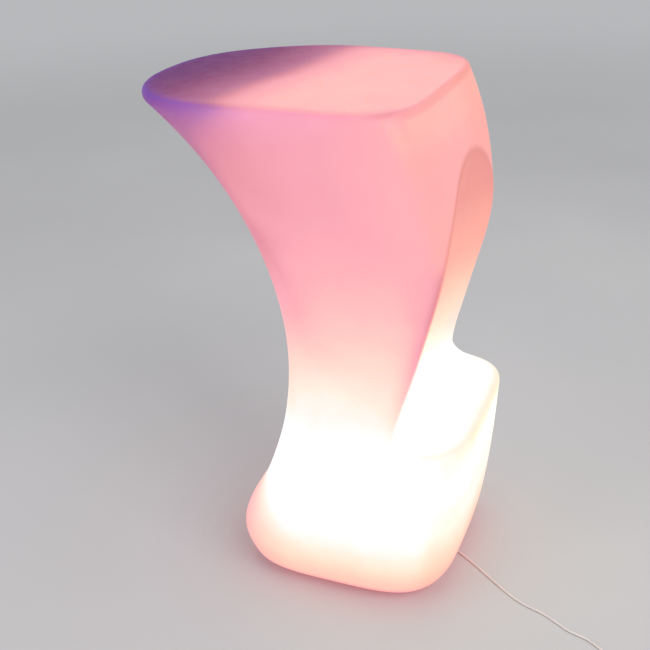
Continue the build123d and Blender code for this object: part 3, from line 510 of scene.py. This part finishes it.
def glow_of(P, N, inside, step):
    """Brightness 0-1, painted purple light from the room, warm colour shift and gain at points P (mm) with normals N.
    inside and step: distance inside the edges of the seat and the footrest step, mm.
    """
    x, y, z = P.T
    nx, ny, nz = N.T
    # height of the recess wall and of the back's line
    rz = 1.025 * (np.array([255, 300, 360, 430, 500, 570, 640.0]) - 6) + 7
    ry = 1.025 * np.array([-55.7, -65.9, -87.0, -107.5, -125.3, -138.5, -148.9]) - 53.89
    wall = np.interp(z, rz, ry) + np.maximum(z - rz[-1], 0) * (ry[-1] - ry[-2]) / (rz[-1] - rz[-2]) - 0.0015 * x * x
    back = curve(z, (7, 93), (62, 121), (124, 95), (195, 62), (267, 41), (349, 35), (442, 47), (534, 76), (626, 131), (708, 214), (745, 263))
    # sides: brightest round the lamp, fading with height; the toe's back and lower front are further from it
    ze = z - 0.011 * np.maximum(y + 10, 0) ** 2 * ease(230, 150, z) - 14 * ease(-0.3, -0.8, ny) * ease(200, 120, z)
    side = curve(ze, (-60, 0.78), (50, 0.904), (80, 0.941), (110, 0.975), (140, 1.005), (205, 1.05), (265, 1.02), (300, 0.99), (350, 0.955), (440, 0.85), (530, 0.76), (590, 0.705), (650, 0.69), (750, 0.70))
    side += (0.045 * ease(-115, -165, y) - 0.02 * ease(-70, 0, y)) * ease(520, 600, z)
    side -= np.minimum(0.14, 0.10 * np.exp(np.minimum((y - back + 70) / 25, 3))) * ease(330, 560, z) * (1 - ease(560, 640, z))
    far = curve(y, (-240, 0.76), (-160, 0.75), (-100, 0.70), (0, 0.65), (60, 0.59), (100, 0.50), (140, 0.37), (200, 0.15), (242, 0.05))
    side = side + (far - side) * ease(560, 640, z)
    # band under the seat's rim
    rim = curve(y, (-240, 0.74), (-120, 0.71), (0, 0.67), (40, 0.575), (80, 0.345), (110, 0.205), (160, 0.085), (200, 0.025), (242, 0.005))
    side = side + (rim - side) * np.exp(-np.clip(742 - z, 0, 200) / 22.0) * ease(-20, 30, y)
    # the back above the waist doesn't face the lamp
    rear = curve(z, (200, 1.0), (300, 0.97), (380, 0.88), (440, 0.76), (520, 0.57), (600, 0.46), (700, 0.28), (745, 0.15))
    out = side + (np.minimum(rear, side) - side) * ease(0.35, 0.9, ny) * ease(260, 340, z)
    # darker along the recess's edge
    d = y - wall
    high = ease(560, 620, z)
    depth = curve(z, (285, 0.0), (350, 0.20), (440, 0.40), (560, 0.30), (620, 0.12), (690, 0.10))
    out -= depth * np.exp(-np.clip(d, 0, 200) / curve(z, (440, 12.0), (560, 7.0), (620, 2.5)))
    out -= 0.03 * ease(-145, -175, y) * ease(440, 480, z) * ease(560, 520, z)
    # recess wall, and the front above its arch
    recess = curve(z, (262, 1.03), (300, 0.980), (350, 0.93), (410, 0.880), (470, 0.775), (530, 0.696), (590, 0.63), (660, 0.615))
    front = curve(z, (560, 0.755), (650, 0.748), (685, 0.765), (705, 0.788), (735, 0.792)) - 0.03 * ease(-20, 110, x)
    recess = recess - 0.03 * np.exp(-abs(d - 0.8) / 1.5) * high
    out = out + (front - out) * ease(0.45, 0.75, -ny) * ease(520, 560, z) * ease(2 - 1.2 * high, 9 - 3 * high, d)
    inner = ease(0.78, 0.92, -ny) * ease(8 - 2.5 * high, 3 - 1.5 * high, d) * ease(262, 275, z)
    out -= 0.10 * ease(0.45, 0.6, -ny) * ease(0.92, 0.8, -ny) * ease(6, 2, d) * ease(400, 450, z) * (1 - high)
    out = out + (recess - out) * inner
    # the step's rim, then the bottom rounding
    middle = 3 + 6 * ease(-60, -139, x)
    lip = np.exp(-(((step - middle) / np.where(step > middle, 7.0, 9.0)) ** 2)) * ease(-160, -205, y)
    lip = lip * curve(x, (-160, 0.45), (-139, 0.6), (-105, 0.8), (-40, 0.9), (40, 0.95), (130, 1.0))
    out -= 0.048 * lip - 0.012 * ease(-110, -40, x) * ease(0.6, 0.9, -ny) * ease(170, 140, z) * ease(70, 110, z)
    out -= 0.02 * ease(0.4, 0.8, -ny) * ease(268, 240, z)
    out -= 0.27 * ease(36, 6, z) + 0.03 * ease(70, 35, z)
    # seat: lit in front, in the back's shade behind a soft slanting line
    b = y - (58 - 20 * np.tanh((x + 40) / 80))
    seat = curve(b, (-240, 0.81), (-180, 0.808), (-90, 0.81), (-60, 0.785), (-39, 0.735), (-20, 0.65), (0, 0.487), (20, 0.366), (43, 0.27), (87, 0.11), (130, 0.03), (172, 0.0), (240, -0.02))
    seat -= 0.10 * np.exp(-np.maximum(inside, 0) / (8.0 + 2.5 * ease(-110, -140, y))) * ease(40, -20, b)
    seat -= 0.125 * np.exp(-np.maximum(inside, 0) / 30.0) * ease(0, 100, x) * ease(40, -20, b)
    top = ease(0.72, 0.97, nz) * ease(690, 710, z)
    out = out + (seat - out) * top
    ahead = ease(0.80, 0.93, -ny / np.sqrt(nx * nx + ny * ny + 1e-6)) * (y < -100)
    band = ease(0.2, 0.5, nz)
    band = (band + (ease(731.5, 737, z) - band) * ahead) * ease(0.995, 0.9, nz) * ease(690, 715, z) * ease(40, -20, b)
    under = np.exp(-np.clip(742 - z, 0, 200) / 7.0) * ease(30, -30, y) * ease(-170, -130, y) * (1 - top)
    wide = np.exp(-np.clip(742 - z, 0, 200) / 25.0) * ease(60, 20, y) * ease(-120, -60, y) * (1 - top)
    out -= (0.105 - 0.06 * ease(-150, -110, y)) * band + 0.03 * under
    boost = 1 + (0.05 + 0.05 * ease(-150, -110, y)) * band + 0.035 * under + 0.035 * wide
    # painted purple light from the room along the top of the back rim, stronger towards the back, and on the seat's
    # back part and back edge
    purple_light_paint = np.exp(-np.clip(742 - z, 0, 300) / 26.0) * curve(y, (-200, 0.0), (-130, 0.0), (-60, 0.22), (0, 0.42), (60, 0.82), (140, 1.05), (240, 1.05)) * (1 - top)
    purple_light_paint = purple_light_paint * (1 - 0.45 * band * ease(-20, 10, y))
    purple_light_paint = purple_light_paint + (0.12 * ease(60, 200, y) + 0.6 * np.exp(-np.maximum(inside, 0) / 6.0) * ease(50, 140, y)) * top
    warmth = 0.38 * ease(0.4, 0.8, -ny) * (ease(420, 560, z) * (1 - inner) * (1 - 0.4 * ease(715, 735, z) * (1 - ahead)) * (1 + 0.95 * ease(-40, 110, x) * ease(190, 120, x) * ease(560, 640, z)) + (0.65 - 0.3 * ease(-110, -40, x)) * ease(262, 200, z))
    warmth += (0.15 + 0.24 * ease(-150, -60, x)) * band * ease(-120, -150, y)
    warmth += top * (0.15 * ease(20, -60, b) + 0.2 * ease(-90, -130, y) * ease(60, 120, x))
    warmth = (warmth + 0.46 * ease(125, 30, z)) * ease(1.04, 0.97, out)
    warmth += 0.10 * lip + 0.20 * ease(40, 8, step) * ease(-20, 0, step) * ease(-160, -205, y)
    warmth += 0.65 * ease(0.3, 0.8, -ny) * ease(138, 180, z) * ease(272, 258, z) * (1 - inner)
    warmth += inner * curve(z, (262, 0.0), (310, 0.10), (355, 0.28), (405, 0.47), (465, 0.82), (530, 1.0), (590, 0.98), (650, 0.92))
    warmth -= 0.2 * inner * high * ease(40, 100, x)
    # painted purple light also added along the recess's edge, low down
    purple_light_paint = purple_light_paint + 0.6 * 4 * inner * (1 - inner) * ease(440, 380, z) * ease(262, 275, z)
    warmth = np.clip(warmth, 0, 1)
    return out, purple_light_paint, warmth, boost


def make_body():
    v, tri = outer_skin(nodes["body_shell"].data)
    bm = bmesh.new()
    for p in v:
        bm.verts.new(p)
    bm.verts.ensure_lookup_table()
    for t in tri.tolist():
        bm.faces.new([bm.verts[i] for i in t])
    bmesh.ops.holes_fill(bm, edges=[e for e in bm.edges if e.is_boundary], sides=0)
    bmesh.ops.triangulate(bm, faces=[f for f in bm.faces if len(f.verts) > 3])
    closed = bpy.data.meshes.new("closed")
    bm.to_mesh(closed)
    bm.free()
    surface = BVHTree.FromPolygons([p.co for p in closed.vertices], [tuple(f.vertices) for f in closed.polygons])
    temp = bpy.data.objects.new("temp", closed)
    scene.collection.objects.link(temp)
    mod = temp.modifiers.new("even", "REMESH")
    mod.mode, mod.voxel_size = "VOXEL", VOXEL
    dg = bpy.context.evaluated_depsgraph_get()
    me = bpy.data.meshes.new_from_object(temp.evaluated_get(dg))
    bpy.data.objects.remove(temp)
    co = np.array([surface.find_nearest(p.co)[0] for p in me.vertices])
    co = smoothed(me, co, 2, 0.5, surface)
    co = smoothed(me, co, 1, 0.3)
    me.vertices.foreach_set("co", co.astype(np.float32).ravel())
    me.update()

    # the lamp unit's opening
    bm = bmesh.new()
    bm.from_mesh(me)
    gone = []
    for f in bm.faces:
        c = f.calc_center_median()
        if 0.029 < c.z < 0.033 and math.hypot(c.x - LAMP[0], c.y - LAMP[1]) < 0.066:
            gone.append(f)
    bmesh.ops.delete(bm, geom=gone, context="FACES")
    for p in bm.verts:
        if p.is_boundary:
            r = Vector((p.co.x - LAMP[0], p.co.y - LAMP[1]))
            r = r.normalized() * 0.066
            p.co = (LAMP[0] + r.x, LAMP[1] + r.y, 0.031)
    bm.normal_update()
    bm.to_mesh(me)
    bm.free()
    me.update()

    P = coords(me)
    N = np.empty(len(P) * 3, np.float32)
    me.vertices.foreach_get("normal", N)
    N = N.reshape(-1, 3).astype(float)
    steep = P[(abs(N[:, 2]) < 0.3) & (P[:, 2] > 0.715)]
    tree = KDTree(len(steep))
    for i, p in enumerate(steep):
        tree.insert(p, i)
    tree.balance()
    inside = np.full(len(P), 99.0)
    for i in np.nonzero((N[:, 2] > 0.5) & (P[:, 2] > 0.69))[0]:
        inside[i] = tree.find(P[i])[2] * 1000 - 9.0
    face = (abs(N[:, 2]) < 0.3) & (P[:, 1] < -0.15) & (P[:, 2] < 0.267)
    edge = P[face & (P[:, 2] > 0.256)]
    tree = KDTree(len(edge))
    for i, p in enumerate(edge):
        tree.insert((p[0], p[1], 0), i)
    tree.balance()
    step = np.where(face, P[:, 2] * 1000 - 264, 99.0)
    for i in np.nonzero((N[:, 2] >= 0.3) & (P[:, 2] > 0.25) & (P[:, 2] < 0.275) & (P[:, 1] < -0.12))[0]:
        step[i] = tree.find((P[i, 0], P[i, 1], 0))[2] * 1000
    glow, painted_purple_light, warm, gain = glow_of(P * 1000, N, inside, step)
    # painted light: the glow is divided by the studio light each point gets, so the sides that the lamps light less
    # glow more
    gain = gain / (LIT + DIFFUSE * studio_light(P, N))
    for name, values in (("glow", glow), ("painted_purple_light", painted_purple_light), ("warm", warm), ("gain", gain)):
        me.attributes.new(name, "FLOAT", "POINT").data.foreach_set("value", values.astype(np.float32))

    me.shade_smooth()
    me.name = "light_body"
    o = bpy.data.objects.new("light_body", me)
    scene.collection.objects.link(o)
    me.materials.clear()
    me.materials.append(surfaces["shell"].mat)
    thick = o.modifiers.new("wall", "SOLIDIFY")
    thick.thickness, thick.offset, thick.use_even_offset, thick.use_rim = WALL, -1.0, True, True
    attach(o, "root")
    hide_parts("body_shell")
    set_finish(o, "shell")
    print("body", len(me.vertices), "points", len(me.polygons), "faces")
    return o


body = make_body()


def lathe(profile, centre, segments=32):
    """Points and faces of a closed (r, z) outline turned about the vertical through centre, metres."""
    verts, faces, rows = [], [], []
    for r, z in profile:
        if r < 1e-6:
            rows.append([len(verts)])
            verts.append((centre[0], centre[1], z))
        else:
            rows.append(list(range(len(verts), len(verts) + segments)))
            verts += [(centre[0] + r * math.cos(2 * math.pi * i / segments), centre[1] + r * math.sin(2 * math.pi * i / segments), z) for i in range(segments)]
    for p, q in zip(rows, rows[1:] + rows[:1]):
        if len(p) == 1 and len(q) == 1:
            continue
        for i in range(segments):
            j = (i + 1) % segments
            if len(p) == 1:
                faces.append((p[0], q[j], q[i]))
            elif len(q) == 1:
                faces.append((p[i], p[j], q[0]))
            else:
                faces.append((p[i], p[j], q[j], q[i]))
    return verts, faces


def joined(parts):
    verts, faces = [], []
    for v, f in parts:
        faces += [tuple(i + len(verts) for i in q) for q in f]
        verts += v
    return verts, faces


# bosses that hold the moulded-in inserts, inside the body
def boss(z0, z1, bore, deep, tip):
    return [(bore, z0), (0.0079, z0), (0.0075, z0 + 0.001), (0.0071, z1 - 0.0015), (0.0066, z1 - 0.0004), (0.0056, z1), (0, z1), (0, tip), (0.0022, tip), (0.0022, deep), (bore, deep)]


bosses = joined([lathe(boss(0.0350, 0.046, 0.0041, 0.0411, 0.0432), p) for p in HOUSING_AT] + [lathe(boss(0.0110, 0.020, 0.0036, 0.0151, 0.0166), p) for p in FEET_AT])
piece("insert_bosses", *bosses, "white_plastic")


# the button's return spring, a closed turn at each end, built at one length though the real one gets shorter as the
# button goes in
def spring():
    low, high = (np.array(v, float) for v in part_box("switch_spring"))
    wire, turns, steps, sides = 0.00025, 6, 36, 12
    t = np.linspace(0, turns, turns * steps + 1)
    rise = 0.00052 + 0.00072 * ease(0.6, 1.3, t) * ease(turns - 0.6, turns - 1.3, t)
    z = np.concatenate([[0.0], np.cumsum((rise[1:] + rise[:-1]) / 2)]) / steps
    z = low[2] + wire + z * (high[2] - low[2] - 2 * wire) / z[-1]
    r = (high[0] - low[0]) / 2 - wire
    cx, cy = (low[:2] + high[:2]) / 2
    verts, faces = [], []
    for a, h in zip(2 * math.pi * t, z):
        for i in range(sides):
            b = 2 * math.pi * i / sides
            verts.append((cx + (r + wire * math.cos(b)) * math.cos(a), cy + (r + wire * math.cos(b)) * math.sin(a), h + wire * math.sin(b)))
    for k in range(len(t) - 1):
        for i in range(sides):
            j = (i + 1) % sides
            faces.append((k * sides + i, (k + 1) * sides + i, (k + 1) * sides + j, k * sides + j))
    faces.append(tuple(range(sides)))
    faces.append(tuple((len(t) - 1) * sides + i for i in reversed(range(sides))))
    return verts, faces, (cx, cy, high[2])


verts, faces, seat_point = spring()
coil = piece("return_spring", verts, faces, "spring_steel")
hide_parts("switch_spring")
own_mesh(coil)

# ------------------------------------------------------------------ the lead
LEAD_D = 0.0035
ROUTE = [
    (14.0, -114.0, 16.5),
    (14.0, -122.5, 15.6),
    (13.9, -131.5, 11.0),
    (13.6, -140.5, 5.6),
    (13.2, -150.0, 2.4),
    (12.2, -163.0, 1.85),
    (9.0, -184.0, 1.8),
    (0.6, -207.0, 1.8),
    (-22.8, -240.0, 1.8),
    (-45.0, -268.0, 1.8),
    (-67.3, -297.0, 1.8),
    (-80.6, -317.0, 1.8),
    (-88.9, -334.0, 1.8),
    (-96.0, -358.8, 1.8),
    (-108.6, -381.6, 1.8),
    (-118.6, -397.0, 1.8),
    (-123.4, -412.0, 1.8),
    (-127.2, -427.2, 1.8),
    (-135.2, -440.6, 1.8),
    (-144.5, -454.0, 1.8),
    (-156.0, -468.0, 1.8),
    (-170.5, -480.0, 1.8),
    (-188.0, -486.0, 1.8),
]
COIL = (-205.0, -463.0)
ROWS = {"low": 1.8, "mid": 5.35, "top": 8.9}
RADII = {"out": 23.4, "mean": 19.8, "in": 16.2}
# the place in the bundle of each turn, from the first to the last
PLACES = [("out", "low"), ("mean", "low"), ("in", "low"), ("in", "mid"), ("in", "top"), ("mean", "top"), ("mean", "mid"), ("out", "mid"), ("out", "top")]
SPAN, CHANGE, STEP = 320.0, 38.0, 20.0


def coil_points():
    """Turns of the put-away length. Each turn keeps its place in the bundle, then steps across to the next one."""
    points = []
    total = SPAN * len(PLACES)
    for i in range(1, int(total / STEP)):
        a = i * STEP
        k = int(a // SPAN)
        r, z = RADII[PLACES[k][0]], ROWS[PLACES[k][1]]
        late = (a - k * SPAN - (SPAN - CHANGE / 2)) / CHANGE
        early = (a - k * SPAN + CHANGE / 2) / CHANGE
        if late > 0 and k + 1 < len(PLACES):
            t = ease(0, 1, late)
            r2, z2 = RADII[PLACES[k + 1][0]], ROWS[PLACES[k + 1][1]]
            r, z = r + (r2 - r) * t, z + (z2 - z) * t
        elif early < 1 and k > 0:
            t = ease(0, 1, early)
            r0, z0 = RADII[PLACES[k - 1][0]], ROWS[PLACES[k - 1][1]]
            r, z = r0 + (r - r0) * t, z0 + (z - z0) * t
        phi = math.radians(-90.0 - a)
        r = r / (0.75 + 0.25 * math.cos(math.radians(2 * STEP)) * 0.5 + 0.125)
        # the strap under the bundle lifts it a little
        off = abs((a % 360.0) - 180.0)
        z += 0.95 * float(ease(48, 18, off))
        points.append((COIL[0] + r * math.cos(phi), COIL[1] + r * math.sin(phi), z))
    return points


ROUTE += [(-205.0, -486.8, 1.8)] + coil_points() + [(-205.0, -486.9, 8.9), (-219.0, -486.9, 8.6), (-231.0, -485.4, 7.7), (-244.0, -484.2, 7.5)]
data = bpy.data.curves.new("charging_lead", "CURVE")
data.dimensions = "3D"
sp = data.splines.new("NURBS")
sp.points.add(len(ROUTE) - 1)
for point, p in zip(sp.points, ROUTE):
    point.co = (p[0] / 1000, p[1] / 1000, p[2] / 1000, 1.0)
sp.order_u = 3
sp.use_endpoint_u = True
sp.resolution_u = 6
data.bevel_depth = LEAD_D / 2
data.bevel_resolution = 4
data.use_fill_caps = True
lead = bpy.data.objects.new("charging_lead", data)
scene.collection.objects.link(lead)
data.materials.append(surfaces["lead_sheath"].mat)
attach(lead, "root")
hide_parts("dc_lead", "dc_lead_coil", "dc_lead_tail")
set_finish(lead, "lead_sheath")


def strap():
    """Hook-and-loop strap round the bundle, its end lapped over the top."""
    w, t, r = 4.5, 0.85, 3.0
    y0, y1, z0, z1 = -449.3 + 0.05, -437.2, 0.03, 12.3
    path = []
    for cy, cz, a0 in ((y1 - r, z0 + r, -90), (y1 - r, z1 - r, 0), (y0 + r, z1 - r, 90), (y0 + r, z0 + r, 180)):
        path += [(cy + r * math.cos(math.radians(a0 + 15 * i)), cz + r * math.sin(math.radians(a0 + 15 * i)), math.radians(a0 + 15 * i)) for i in range(7)]
    verts, faces = [], []
    across = [(-w, 0.25), (-w + 0.25, 0.0), (w - 0.25, 0.0), (w, 0.25), (w, t - 0.25), (w - 0.25, t), (-w + 0.25, t), (-w, t - 0.25)]
    for y, z, a in path:
        for x, depth in across:
            verts.append((COIL[0] + x, y - depth * math.cos(a), z - depth * math.sin(a)))
    n, m = len(path), len(across)
    for i in range(n):
        for j in range(m):
            i2, j2 = (i + 1) % n, (j + 1) % m
            faces.append((i * m + j, i2 * m + j, i2 * m + j2, i * m + j2))
    # the free end
    base = len(verts)
    line = [(y0 + 4.0, z1 + 0.05), (y0 + 7.5, z1 + 0.06), (y1 - 2.6, z1 + 0.02), (y1 - 0.4, z1 - 0.9), (y1 + 1.6, z1 - 2.4), (y1 + 3.4, z1 - 3.3)]
    for i, (y, z) in enumerate(line):
        p, q = line[max(0, i - 1)], line[min(len(line) - 1, i + 1)]
        a = math.atan2(q[1] - p[1], q[0] - p[0]) + math.pi / 2
        for x, depth in across:
            x *= 0.94
            verts.append((COIL[0] + x, y + depth * math.cos(a), z + depth * math.sin(a)))
    for i in range(len(line) - 1):
        for j in range(m):
            j2 = (j + 1) % m
            faces.append((base + i * m + j2, base + (i + 1) * m + j2, base + (i + 1) * m + j, base + i * m + j))
    faces.append(tuple(base + j for j in range(m)))
    faces.append(tuple(base + (len(line) - 1) * m + j for j in reversed(range(m))))
    return [(x / 1000, y / 1000, z / 1000) for x, y, z in verts], faces


surfaces["strap"] = moulded("strap", lin(30, 30, 32), (0.75, 0.92), 0.55, 0.22, 3.0, 0.3, specular=0.25)
tie = piece("coil_strap", *strap(), "strap")
bpy.data.objects["coil_strap"]["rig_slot"] = "black_plastic"
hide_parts("coil_tie")
